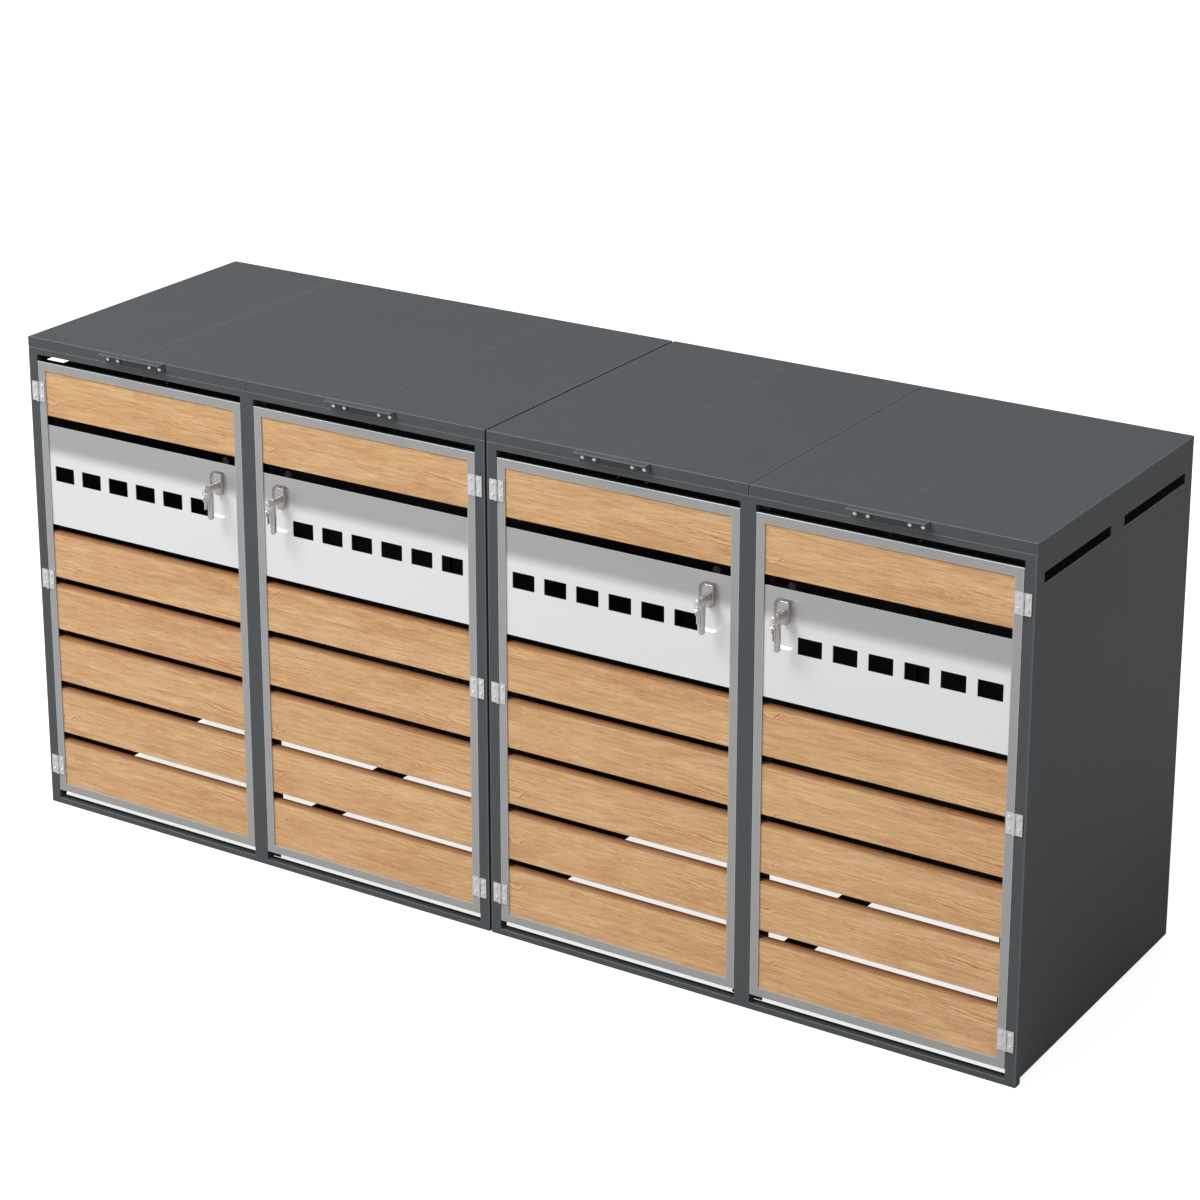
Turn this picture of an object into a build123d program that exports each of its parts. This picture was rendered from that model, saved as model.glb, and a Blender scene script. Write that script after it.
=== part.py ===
from build123d import *
import os

# Store for four wheeled recycling bins: two identical double modules side by side.
# Frame: +X along the front, the doors face -Y, +Z up, the floor is Z = 0.
# The origin is the centre of the whole footprint, keys and rear hinges included.

# ---- driving dimensions (mm) ----
MODULE_W = 1295.0          # width of one double module
MODULE_GAP = 6.0           # between the two modules
DEPTH = 779.0              # front face to back face of the body
HEIGHT = 1190.0            # floor to the top of the lids
SHEET = 2.0                # wall and lid sheet
POST_W = 24.5              # outer front post, face width with the wall's edge
CENTRE_POST_W = 35.5       # post between the two doors of a module
TUBE = 24.5                # depth of the frame tubes
BASE_H = 14.0              # bottom front rail, and clearance under the walls
RAIL_TOP = 1165.0          # top of the frame, under the lid's lip
RAIL_H = 15.0              # visible height of the top front rail
LIP_GAP = 1.2              # between the lid's lip and the rail
STOP_LAP = 17.5            # door stop plate, behind each door
STOP_T = 2.5

SLOT_H = 24.5              # vent slots in the side walls
SLOT_Z = 1105.5
SLOT_L = 320.0
SLOT_FROM_EDGE = 37.5
SEAM_GAP = 0.4             # hairline between two wall sheets
LID_SEAM = 1.0             # seam between the two halves of a lid

SIDE_GAP = 1.5             # door edge to post
DOOR_BOTTOM = 36.0
DOOR_TOP = 1133.0
FACE_W = 20.0              # face frame, visible width
FACE_T = 3.0
SUB_DEPTH = 20.0           # sub-frame behind the face frame
SUB_T = 2.5
BATTEN_W = 30.0            # upright that the boards are screwed to
BATTEN_T = 1.8

BOARD_T = 18.0
BOARD_H = 115.0
BOARD_PITCH = 134.5
BOARD_TOP = 710.5          # top of the first board under the panel
LOWER_BOARDS = 5
EDGE_LAP = 9.0             # what the outer boards hide behind the face frame
TOP_BOARD_BOTTOM = 1000.5
BOARD_ROUND = 2.0

PANEL_BOTTOM = 730.0
PANEL_TOP = 978.0
PANEL_T = 2.0
PANEL_RETURN = 14.0
HOLES = 6
HOLE_W = 57.0
HOLE_H = 38.0
HOLE_PITCH = 81.8
HOLE_Z = 859.5
HOLE_FROM_HINGE = 36.0     # door edge at the hinge to the first hole

LOCK_FROM_EDGE = 70.5      # lever axis to the latch edge of the door
LOCK_Z = 926.5
DISH_W = 55.0
DISH_H = 112.0
DISH_Z = 901.0
DISH_R = 20.0
DISH_DEPTH = 4.5
DISH_ROUND = 1.8           # rolled edge of the dish's mouth
DISH_TAPER = 9.0           # how far the dish wall leans in, each side
BODY_W = 21.0              # lock body
BODY_H = 51.0
BODY_PROUD = 4.0           # in front of the door's face
HUB_R = 8.4
HUB_PROUD = 34.0
SPINDLE_R = 5.0
LEVER_W = 15.0
LEVER_L = 76.5
LEVER_T = 7.0
CAM_W = 18.0
CAM_L = 66.0
CAM_T = 3.0
REAR_T = 10.0              # depth of the rear frame
CAM_GAP = 1.2              # between the stop plate and the cam
CORE_R = 5.4               # lock core, turns in the hub
CORE_L = 20.0
RUN_CLEAR = 0.1            # radial clearance of a turning fit
KEY_T = 2.0
BOW_R = 9.0
KEY_PROUD = 57.0           # front of the spare key, from the door's face
RING_R = 8.0
WIRE_R = 0.8

HINGE_H = 47.0             # door butt hinges
HINGE_LEAF = 18.0
HINGE_T = 2.0
KNUCKLE_R = 3.0
PIN_R = 1.5
PIN_FIT = 0.05
HINGE_Z = (103.0, 587.0, 1059.0)
HINGE_SCREW_Z = 26.5
HINGE_SCREW_X = 10.5
SCREW_HEAD_R = 4.0
SCREW_HEAD_H = 2.2

LID_GAP = 2.2              # between the two lids of a module
LID_FLANGE = 20.0
LID_FLANGE_INSET = 5.0
LID_EDGE_R = 1.4
HANDLE_L = 177.0
HANDLE_PROUD = 22.5
HANDLE_T = 3.0
HANDLE_TAB_W = 47.0        # the two tabs that are screwed to the lip
HANDLE_TAB_H = 22.0
LID_SCREWS_X = (47.0, 76.5)
LID_SCREW_Z = 1176.0
LID_SCREW_R = 4.6
LID_SCREW_H = 3.2
LIFTER_X = 34.5            # lid catch: two hooked legs under the lid
LIFTER_Y = 73.0
LIFTER_Z = 1115.0
LIFTER_R = 2.5
LID_HINGE_W = 90.0
LID_HINGE_X = 215.0        # lid hinges, each side of the lid's seam
LID_HINGE_LEAF = 19.0

FLOOR_RAIL = 40.0
FOOT_R = 22.0
FOOT_H = 7.0
FOOT_STUD_R = 5.0
FOOT_INSET = 60.0
COUPLER_R = 14.0
BUFFER_W = 16.0
BUFFER_GAP = 0.4           # under the lid's flanges

# ---- derived places ----
WIDTH = 2 * MODULE_W + MODULE_GAP
REAR_PROUD = 2 * KNUCKLE_R + 0.2
FRONT = (KEY_PROUD - DEPTH - REAR_PROUD) / 2      # Y of the body's front face
BACK = FRONT + DEPTH                              # Y of the body's back face
DOOR_W = (MODULE_W - 2 * POST_W - CENTRE_POST_W) / 2 - 2 * SIDE_GAP
MODULE_X = (-WIDTH / 2, MODULE_GAP / 2)           # left edge of each module
LID_UNDER = HEIGHT - SHEET
WALL_TOP = LID_UNDER - 0.5
LIP_BOTTOM = RAIL_TOP + LIP_GAP
HINGE_Y = FRONT - KNUCKLE_R - 0.2                 # door hinge axis
LID_HINGE_Y = BACK + KNUCKLE_R + 0.2              # lid hinge axis
LID_HINGE_Z = RAIL_TOP + LIP_GAP / 2
CAM_Y = FRONT + TUBE + STOP_T + CAM_GAP           # front face of the cam

os.makedirs("parts", exist_ok=True)


def front_plane(y):
    """Plane seen from the front, at Y = y: local x is X, local y is Z, it extrudes to -Y."""
    return Plane.XZ.offset(-y)


def block(x0, x1, y0, y1, z0, z1, mode=Mode.ADD):
    """Box between two corners, in the part being built."""
    with Locations(((x0 + x1) / 2, (y0 + y1) / 2, (z0 + z1) / 2)):
        Box(abs(x1 - x0), abs(y1 - y0), abs(z1 - z0), mode=mode)


def rod_y(x, z, radius, y0, y1, mode=Mode.ADD):
    """Round bar along Y, in the part being built."""
    with Locations((x, (y0 + y1) / 2, z)):
        Cylinder(radius, abs(y1 - y0), rotation=(90, 0, 0), mode=mode)


def rod_z(x, y, radius, z0, z1, mode=Mode.ADD):
    """Round bar along Z, in the part being built."""
    with Locations((x, y, (z0 + z1) / 2)):
        Cylinder(radius, abs(z1 - z0), mode=mode)


def rod_x(y, z, radius, x0, x1, mode=Mode.ADD):
    """Round bar along X, in the part being built."""
    with Locations(((x0 + x1) / 2, y, z)):
        Cylinder(radius, abs(x1 - x0), rotation=(0, 90, 0), mode=mode)


def save(piece, name):
    """Label a finished piece and write it to its own file."""
    piece.part.label = name
    export_step(piece.part, "parts/" + name + ".step")


# ---- walls ----
def side_wall(name, outer_x, inward):
    """Side wall of two sheets with a vent slot each; inward is +1 on a left wall."""
    inner_x = outer_x + inward * SHEET
    middle = (FRONT + BACK) / 2
    sheet_y = (DEPTH / 2 - SEAM_GAP / 2, DEPTH / 2 - SHEET - SEAM_GAP / 2)
    with BuildPart() as wall:
        with BuildSketch(Plane.YZ.offset(min(outer_x, inner_x))):
            with Locations((FRONT, BASE_H)):
                Rectangle(sheet_y[0], RAIL_TOP - BASE_H, align=(Align.MIN, Align.MIN))
            with Locations((FRONT + SHEET + LIP_GAP, RAIL_TOP)):
                Rectangle(sheet_y[0] - SHEET - LIP_GAP, WALL_TOP - RAIL_TOP, align=(Align.MIN, Align.MIN))
            with Locations((middle + SEAM_GAP / 2, BASE_H)):
                Rectangle(sheet_y[1], RAIL_TOP - BASE_H, align=(Align.MIN, Align.MIN))
            with Locations((middle + SEAM_GAP / 2, RAIL_TOP)):
                Rectangle(sheet_y[1] - LIP_GAP, WALL_TOP - RAIL_TOP, align=(Align.MIN, Align.MIN))
            slot_at = DEPTH / 2 - SLOT_FROM_EDGE - SLOT_L / 2
            with Locations((middle - slot_at, SLOT_Z), (middle + slot_at, SLOT_Z)):
                Rectangle(SLOT_L, SLOT_H, mode=Mode.SUBTRACT)
        extrude(amount=SHEET)
        # turned-in edges that stiffen the two sheets along the seam and the bottom
        front_part = (FRONT + TUBE, middle - SEAM_GAP / 2)
        rear_part = (middle + SEAM_GAP / 2, BACK - SHEET - REAR_T)
        for start, end in (front_part, rear_part):
            block(inner_x, inner_x + inward * TUBE * 0.6, start, end, BASE_H, BASE_H + SHEET)
        for start, step in ((middle - SEAM_GAP / 2, -SHEET), (middle + SEAM_GAP / 2, SHEET)):
            block(inner_x, inner_x + inward * TUBE * 0.6, start, start + step, BASE_H, WALL_TOP - TUBE)
    save(wall, name)


def back_wall(name, x):
    """Back of one module: two sheets, one behind each bay, with a vent slot each."""
    half = MODULE_W / 2
    with BuildPart() as wall:
        with BuildSketch(front_plane(BACK)):
            for centre in (x + half / 2, x + half * 1.5):
                with Locations((centre, (BASE_H + RAIL_TOP) / 2)):
                    Rectangle(half - SEAM_GAP, RAIL_TOP - BASE_H)
                with Locations((centre, SLOT_Z)):
                    Rectangle(SLOT_L, SLOT_H, mode=Mode.SUBTRACT)
        extrude(amount=SHEET)
    save(wall, name)


# ---- frames ----
def front_frame(name, x):
    """Welded front frame of one module: three posts, top and bottom rails, door stop plate."""
    left = x + SHEET
    right = x + MODULE_W - SHEET
    middle = x + MODULE_W / 2
    with BuildPart() as frame:
        block(left, right, FRONT, FRONT + TUBE, RAIL_TOP - RAIL_H, RAIL_TOP)
        block(x, x + MODULE_W, FRONT, FRONT + TUBE - SHEET, 0, BASE_H)
        block(left, x + POST_W, FRONT, FRONT + TUBE, BASE_H, RAIL_TOP - RAIL_H)
        block(x + MODULE_W - POST_W, right, FRONT, FRONT + TUBE, BASE_H, RAIL_TOP - RAIL_H)
        block(middle - CENTRE_POST_W / 2, middle + CENTRE_POST_W / 2, FRONT, FRONT + TUBE,
              BASE_H, RAIL_TOP - RAIL_H)
        stop = CENTRE_POST_W / 2 + SIDE_GAP + STOP_LAP
        block(middle - stop, middle + stop, FRONT + TUBE, FRONT + TUBE + STOP_T, BASE_H, RAIL_TOP)
    save(frame, name)


def rear_frame(name, x):
    """Welded rear frame of one module: corner posts, centre post, top and bottom rails."""
    left = x + SHEET
    right = x + MODULE_W - SHEET
    middle = x + MODULE_W / 2
    inner = BACK - SHEET
    with BuildPart() as frame:
        block(left, right, inner - REAR_T, inner, RAIL_TOP - TUBE, RAIL_TOP)
        block(left, right, inner - REAR_T, inner, BASE_H, BASE_H + TUBE)
        for start in (left, middle - TUBE / 2, right - TUBE):
            block(start, start + TUBE, inner - REAR_T, inner, BASE_H + TUBE, RAIL_TOP - TUBE)
    save(frame, name)


def centre_rails(name):
    """Front-to-back rails in the middle of each module: one on the floor, one under the lids."""
    start = FRONT + TUBE + STOP_T
    end = BACK - SHEET - REAR_T
    with BuildPart() as rails:
        for x in MODULE_X:
            middle = x + MODULE_W / 2
            half = FLOOR_RAIL / 2
            wall = SHEET
            block(middle - half, middle + half, start, end, BASE_H, BASE_H + FLOOR_RAIL)
            block(middle - half + wall, middle + half - wall, start, end,
                  BASE_H + wall, BASE_H + FLOOR_RAIL - wall, mode=Mode.SUBTRACT)
            block(middle - half, middle + half, start, end, RAIL_TOP - TUBE, RAIL_TOP)
            block(middle - half + wall, middle + half - wall, start, end,
                  RAIL_TOP - TUBE + wall, RAIL_TOP - wall, mode=Mode.SUBTRACT)
    save(rails, name)


def rear_feet(name):
    """Levelling feet under the rear frames, three to a module."""
    y = BACK - FOOT_R - SHEET
    with BuildPart() as feet:
        for x in MODULE_X:
            for foot_x in (x + FOOT_INSET, x + MODULE_W / 2, x + MODULE_W - FOOT_INSET):
                rod_z(foot_x, y, FOOT_R, 0, FOOT_H)
                rod_z(foot_x, y, FOOT_STUD_R, FOOT_H, BASE_H)
        rims = feet.edges().filter_by(GeomType.CIRCLE).group_by(Axis.Z)[1]
        chamfer(rims.filter_by(lambda e: e.radius > FOOT_STUD_R), 1.5)
    save(feet, name)


def couplers(name):
    """Spacer discs with their bolt stubs, which hold the two modules together."""
    half = MODULE_GAP / 2
    with BuildPart() as discs:
        for y in (FRONT + DEPTH * 0.15, BACK - DEPTH * 0.15):
            for z in (HEIGHT * 0.2, HEIGHT * 0.8):
                rod_x(y, z, COUPLER_R, -half, half)
    save(discs, name)


def lid_buffers(name, bays):
    """Rubber pads on the front rails, under the flanges of the lids."""
    top = LID_UNDER - LID_FLANGE - BUFFER_GAP
    with BuildPart() as pads:
        for bay in bays:
            left, right = bay.lid
            reach = (right - left) / 2 - BUFFER_W
            for x in ((left + right) / 2 - reach, (left + right) / 2, (left + right) / 2 + reach):
                block(x - BUFFER_W / 2, x + BUFFER_W / 2, FRONT + TUBE * 0.25, FRONT + TUBE * 0.75,
                      RAIL_TOP, top)
        fillet(pads.edges().filter_by(Axis.Z), 3)
    save(pads, name)


# ---- one door, with its lock ----
class Bay:
    """Places of one bay: n counts from the left, hand is +1 where the door is hinged on its left."""

    def __init__(self, n):
        self.n = n
        x = MODULE_X[(n - 1) // 2]
        self.hand = 1 if n % 2 else -1
        edge = POST_W + SIDE_GAP
        self.hinge_edge = x + edge if self.hand > 0 else x + MODULE_W - edge
        half = MODULE_W / 2
        split = LID_GAP / 2
        if self.hand > 0:
            self.lid = (x, x + half - split)
        else:
            self.lid = (x + half + split, x + MODULE_W)

    def at(self, u):
        """X at a distance u from the door's hinge edge."""
        return self.hinge_edge + self.hand * u


def door_face_frame(bay):
    """Flat frame that is seen around the boards."""
    centre = (bay.at(DOOR_W / 2), (DOOR_BOTTOM + DOOR_TOP) / 2)
    tall = DOOR_TOP - DOOR_BOTTOM
    with BuildPart() as frame:
        with BuildSketch(front_plane(FRONT + FACE_T)):
            with Locations(centre):
                Rectangle(DOOR_W, tall)
                Rectangle(DOOR_W - 2 * FACE_W, tall - 2 * FACE_W, mode=Mode.SUBTRACT)
        extrude(amount=FACE_T)
        chamfer(frame.faces().sort_by(Axis.Y)[0].outer_wire().edges(), 0.5)
    save(frame, "door_%d_face_frame" % bay.n)


def door_sub_frame(bay):
    """Dark welded frame behind the face frame, with two uprights behind the boards."""
    y0 = FRONT + FACE_T
    y1 = y0 + SUB_DEPTH
    bottom = DOOR_BOTTOM + 0.5
    top = DOOR_TOP - 0.5
    with BuildPart() as frame:
        with BuildSketch(front_plane(y1)):
            with Locations((bay.at(DOOR_W / 2), (bottom + top) / 2)):
                Rectangle(DOOR_W - 1.0, top - bottom)
                Rectangle(DOOR_W - 1.0 - 2 * SUB_T, top - bottom - 2 * SUB_T, mode=Mode.SUBTRACT)
        extrude(amount=SUB_DEPTH)
        for u in (SUB_T, DOOR_W - SUB_T - BATTEN_W):
            block(bay.at(u), bay.at(u + BATTEN_W), y1 - BATTEN_T, y1, bottom + SUB_T, top - SUB_T)
    save(frame, "door_%d_sub_frame" % bay.n)


def door_boards(bay):
    """Six horizontal boards: one over the panel, five under it."""
    left = min(bay.at(SUB_T + 1), bay.at(DOOR_W - SUB_T - 1))
    length = DOOR_W - 2 * SUB_T - 2
    spans = [(TOP_BOARD_BOTTOM, DOOR_TOP - FACE_W + EDGE_LAP)]
    for k in range(LOWER_BOARDS):
        top = BOARD_TOP - k * BOARD_PITCH
        spans.append((top - BOARD_H, top))
    spans[-1] = (DOOR_BOTTOM + FACE_W - EDGE_LAP, spans[-1][1])
    y0 = FRONT + FACE_T
    with BuildPart() as boards:
        for bottom, top in spans:
            block(left, left + length, y0, y0 + BOARD_T, bottom, top)
        fillet(boards.edges().filter_by(Axis.X), BOARD_ROUND)
    save(boards, "door_%d_boards" % bay.n)


def door_panel(bay):
    """Sheet panel with a row of holes and a pressed dish for the lock."""
    y0 = FRONT + FACE_T
    left = min(bay.at(SUB_T + 1), bay.at(DOOR_W - SUB_T - 1))
    length = DOOR_W - 2 * SUB_T - 2
    lock_x = bay.at(DOOR_W - LOCK_FROM_EDGE)
    with BuildPart() as panel:
        with BuildSketch(front_plane(y0 + PANEL_T)):
            with Locations((left + length / 2, (PANEL_BOTTOM + PANEL_TOP) / 2)):
                Rectangle(length, PANEL_TOP - PANEL_BOTTOM)
            first = HOLE_FROM_HINGE + HOLE_W / 2
            for k in range(HOLES):
                with Locations((bay.at(first + k * HOLE_PITCH), HOLE_Z)):
                    RectangleRounded(HOLE_W, HOLE_H, 1.5, mode=Mode.SUBTRACT)
        extrude(amount=PANEL_T)
        for x in (left, left + length - PANEL_T):
            block(x, x + PANEL_T, y0, y0 + PANEL_RETURN, PANEL_BOTTOM, PANEL_TOP)
        # the dish: a raised block behind the sheet, hollowed from the front
        for grow, depth, mode in ((PANEL_T, DISH_DEPTH + PANEL_T, Mode.ADD), (0, DISH_DEPTH, Mode.SUBTRACT)):
            with BuildSketch(front_plane(y0)) as mouth:
                with Locations((lock_x, DISH_Z)):
                    RectangleRounded(DISH_W + 2 * grow, DISH_H + 2 * grow, DISH_R + grow)
            with BuildSketch(front_plane(y0 + depth)) as floor:
                with Locations((lock_x, DISH_Z)):
                    RectangleRounded(DISH_W + 2 * grow - DISH_TAPER, DISH_H + 2 * grow - DISH_TAPER,
                                     DISH_R + grow - DISH_TAPER / 2)
            loft([mouth.sketch, floor.sketch], mode=mode)
        rims = panel.edges().filter_by(lambda e: abs(e.center().Z - DISH_Z) < DISH_H / 2 + 1
                                       and abs(e.center().X - lock_x) < DISH_W / 2 + 1)
        fillet(rims.filter_by(lambda e: abs(e.center().Y - y0) < 0.01), DISH_ROUND)
        rod_y(lock_x, LOCK_Z, SPINDLE_R + 1, y0, y0 + DISH_DEPTH + PANEL_T + 1, mode=Mode.SUBTRACT)
    save(panel, "door_%d_panel" % bay.n)


def lock_body(bay):
    """Escutcheon of the lock, tapered to its foot, with the bearing of the lever's spindle."""
    x = bay.at(DOOR_W - LOCK_FROM_EDGE)
    back = FRONT + FACE_T + DISH_DEPTH
    front = FRONT - BODY_PROUD
    foot = BODY_W * 0.38
    with BuildPart() as body:
        with BuildSketch(front_plane(back)):
            with BuildLine():
                Polyline((x - BODY_W / 2, LOCK_Z + BODY_H / 2), (x - BODY_W / 2, LOCK_Z - BODY_H * 0.2),
                         (x - foot, LOCK_Z - BODY_H / 2), (x + foot, LOCK_Z - BODY_H / 2),
                         (x + BODY_W / 2, LOCK_Z - BODY_H * 0.2), (x + BODY_W / 2, LOCK_Z + BODY_H / 2),
                         close=True)
            make_face()
        extrude(amount=back - front)
        fillet(body.edges().filter_by(Axis.Y), 2.5)
        fillet(body.faces().sort_by(Axis.Y)[0].outer_wire().edges(), 1.2)
        rod_y(x, LOCK_Z, SPINDLE_R + RUN_CLEAR, front - 1, back + 1, mode=Mode.SUBTRACT)
    save(body, "door_%d_lock_body" % bay.n)


def lock_lever(bay):
    """Lever with its hub and spindle in one casting, and the cam on the spindle's end."""
    x = bay.at(DOOR_W - LOCK_FROM_EDGE)
    hub_back = FRONT - BODY_PROUD - 0.4
    hub_front = FRONT - HUB_PROUD
    with BuildPart() as lever:
        rod_y(x, LOCK_Z, HUB_R, hub_front, hub_back)
        rod_y(x, LOCK_Z, SPINDLE_R, hub_back, CAM_Y + CAM_T)
        with BuildSketch(front_plane(hub_front + LEVER_T)) as blade:
            with BuildLine():
                left = Line((x - LEVER_W / 2, LOCK_Z), (x - LEVER_W * 0.42, LOCK_Z - LEVER_L + LEVER_W / 2))
                right = Line((x + LEVER_W / 2, LOCK_Z), (x + LEVER_W * 0.42, LOCK_Z - LEVER_L + LEVER_W / 2))
                ThreePointArc(left @ 1, (x, LOCK_Z - LEVER_L), right @ 1)
                Line(left @ 0, right @ 0)
            make_face()
        extrude(amount=LEVER_T)
        fillet(lever.faces().filter_by(Axis.Y).group_by(Axis.Y)[0].edges(), 1.1)
        with BuildSketch(front_plane(hub_front + 1.5)) as groove:
            with Locations((x, LOCK_Z - LEVER_L * 0.52)):
                SlotOverall(LEVER_L * 0.42, 4.0, rotation=90)
        extrude(amount=3, mode=Mode.SUBTRACT)
        rod_y(x, LOCK_Z, CORE_R + RUN_CLEAR, hub_front - 1, hub_front + CORE_L + 0.5, mode=Mode.SUBTRACT)
        # the cam stands clear of the stop plate while the lever hangs down
        with BuildSketch(front_plane(CAM_Y + CAM_T)):
            with Locations((x, LOCK_Z + CAM_L / 2 - CAM_W / 2)):
                SlotOverall(CAM_L, CAM_W, rotation=90)
        extrude(amount=CAM_T)
        rod_y(x, LOCK_Z, SPINDLE_R * 1.6, CAM_Y + CAM_T, CAM_Y + CAM_T + 3)
    save(lever, "door_%d_lock_lever" % bay.n)


def lock_keys(bay):
    """Lock core with its key, the key ring and the spare key that hangs on it."""
    x = bay.at(DOOR_W - LOCK_FROM_EDGE)
    face = FRONT - HUB_PROUD
    hole_y = FRONT - KEY_PROUD + BOW_R
    bow_y = hole_y + BOW_R * 0.45
    ring_z = LOCK_Z - RING_R
    spare_z = ring_z - RING_R - BOW_R * 0.45
    with BuildPart() as keys:
        # core and key
        rod_y(x, LOCK_Z, CORE_R, face - 0.3, face + CORE_L)
        with BuildSketch(Plane.YZ.offset(x - KEY_T / 2)):
            with Locations((bow_y, LOCK_Z)):
                Circle(BOW_R)
            with Locations((face, LOCK_Z)):
                Rectangle(2 * (face - bow_y), BOW_R * 0.85)
            with Locations((hole_y, LOCK_Z)):
                Circle(BOW_R * 0.3, mode=Mode.SUBTRACT)
        extrude(amount=KEY_T)
        # spare key
        with BuildSketch(Plane.YZ.offset(x - KEY_T / 2)):
            with Locations((hole_y, spare_z)):
                Circle(BOW_R)
            with Locations((hole_y, spare_z - BOW_R - 7)):
                Rectangle(BOW_R * 0.75, 20)
            with Locations((hole_y, spare_z + BOW_R * 0.45)):
                Circle(BOW_R * 0.3, mode=Mode.SUBTRACT)
        extrude(amount=KEY_T)
        # ring
        with Locations(Location((x, hole_y, ring_z), (90, 0, 0))):
            Torus(RING_R, WIRE_R)
    save(keys, "door_%d_keys" % bay.n)


# ---- hinges ----
def hinge_leaf(pin_x, side, z, own_thirds):
    """One leaf of a door hinge, with its knuckles and two screws, in the part being built."""
    third = HINGE_H / 3
    z0 = z - HINGE_H / 2
    near = KNUCKLE_R + 0.4
    block(pin_x + side * near, pin_x + side * HINGE_LEAF, FRONT - HINGE_T, FRONT, z0, z0 + HINGE_H)
    for k in own_thirds:
        low = z0 + k * third + (0.2 if k else 0)
        high = z0 + (k + 1) * third - (0.2 if k < 2 else 0)
        rod_z(pin_x, HINGE_Y, KNUCKLE_R, low, high)
        block(pin_x, pin_x + side * near, FRONT - HINGE_T - 0.2, FRONT - 0.2, low, high)
        rod_z(pin_x, HINGE_Y, PIN_R + PIN_FIT, low - 1, high + 1, mode=Mode.SUBTRACT)
    for dz in (-HINGE_SCREW_Z / 2, HINGE_SCREW_Z / 2):
        with Locations((pin_x + side * HINGE_SCREW_X, FRONT - HINGE_T, z + dz)):
            Cylinder(SCREW_HEAD_R, SCREW_HEAD_H, rotation=(90, 0, 0),
                     align=(Align.CENTER, Align.CENTER, Align.MIN))


def door_hinge_leaves(bay):
    """The door's leaves of its three hinges."""
    pin_x = bay.at(-SIDE_GAP / 2)
    with BuildPart() as leaves:
        for z in HINGE_Z:
            hinge_leaf(pin_x, bay.hand, z, (1,))
        heads = leaves.faces().filter_by(Axis.Y).group_by(Axis.Y)[0]
        fillet(heads.edges(), 0.8)
    save(leaves, "door_%d_hinge_leaves" % bay.n)


def post_hinge_leaves(name, bays):
    """The posts' leaves of all door hinges, each with its pin."""
    with BuildPart() as leaves:
        for bay in bays:
            pin_x = bay.at(-SIDE_GAP / 2)
            for z in HINGE_Z:
                hinge_leaf(pin_x, -bay.hand, z, (0, 2))
        heads = leaves.faces().filter_by(Axis.Y).group_by(Axis.Y)[0]
        fillet(heads.edges(), 0.8)
    with BuildPart() as pins:
        for bay in bays:
            for z in HINGE_Z:
                rod_z(bay.at(-SIDE_GAP / 2), HINGE_Y, PIN_R, z - HINGE_H / 2 - 0.8, z + HINGE_H / 2 + 0.8)
    with BuildPart() as both:
        add(leaves.part)
        add(pins.part)
    save(both, name)


def lid_hinge_x(bay):
    """Middle X of the lid's two hinges."""
    seam = (bay.lid[0] + bay.lid[1]) / 2
    return (seam - LID_HINGE_X, seam + LID_HINGE_X)


def wall_lid_leaves(name, bays):
    """Leaves of all lid hinges on the back walls, with their pins."""
    third = LID_HINGE_W / 3
    with BuildPart() as leaves:
        for bay in bays:
            for x in lid_hinge_x(bay):
                x0 = x - LID_HINGE_W / 2
                low = LID_HINGE_Z - KNUCKLE_R - 0.4
                block(x0, x0 + LID_HINGE_W, BACK, BACK + HINGE_T, low - LID_HINGE_LEAF, low)
                for k in (0, 2):
                    start = x0 + k * third + (0.2 if k else 0)
                    end = x0 + (k + 1) * third - (0 if k else 0.2)
                    rod_x(LID_HINGE_Y, LID_HINGE_Z, KNUCKLE_R, start, end)
                    block(start, end, BACK + 0.2, BACK + 0.2 + HINGE_T, low, LID_HINGE_Z)
                rod_x(LID_HINGE_Y, LID_HINGE_Z, PIN_R + PIN_FIT, x0 - 1, x0 + LID_HINGE_W + 1,
                      mode=Mode.SUBTRACT)
    with BuildPart() as pins:
        for bay in bays:
            for x in lid_hinge_x(bay):
                rod_x(LID_HINGE_Y, LID_HINGE_Z, PIN_R, x - LID_HINGE_W / 2, x + LID_HINGE_W / 2)
    with BuildPart() as both:
        add(leaves.part)
        add(pins.part)
    save(both, name)


# ---- one lid ----
def lid_halves(bay):
    """Lid of two folded sheets that meet in a seam, turned down on every side."""
    left, right = bay.lid
    seam = (left + right) / 2
    halves = ((left, seam - LID_SEAM / 2, 1), (seam + LID_SEAM / 2, right, -1))
    with BuildPart() as lid:
        for x0, x1, outer_first in halves:
            block(x0, x1, FRONT, BACK, LID_UNDER, HEIGHT)
            block(x0, x1, FRONT, FRONT + SHEET, LIP_BOTTOM, LID_UNDER)
            block(x0, x1, BACK - SHEET, BACK, LIP_BOTTOM, LID_UNDER)
            outer = x0 + LID_FLANGE_INSET if outer_first > 0 else x1 - LID_FLANGE_INSET
            inner = x1 if outer_first > 0 else x0
            for x, step in ((outer, SHEET * outer_first), (inner, -SHEET * outer_first)):
                block(x, x + step, FRONT + SHEET, BACK - SHEET, LID_UNDER - LID_FLANGE, LID_UNDER)
        fillet(lid.faces().filter_by(Axis.Z).group_by(Axis.Z)[-1].edges(), LID_EDGE_R)
    save(lid, "lid_%d_halves" % bay.n)


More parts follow.
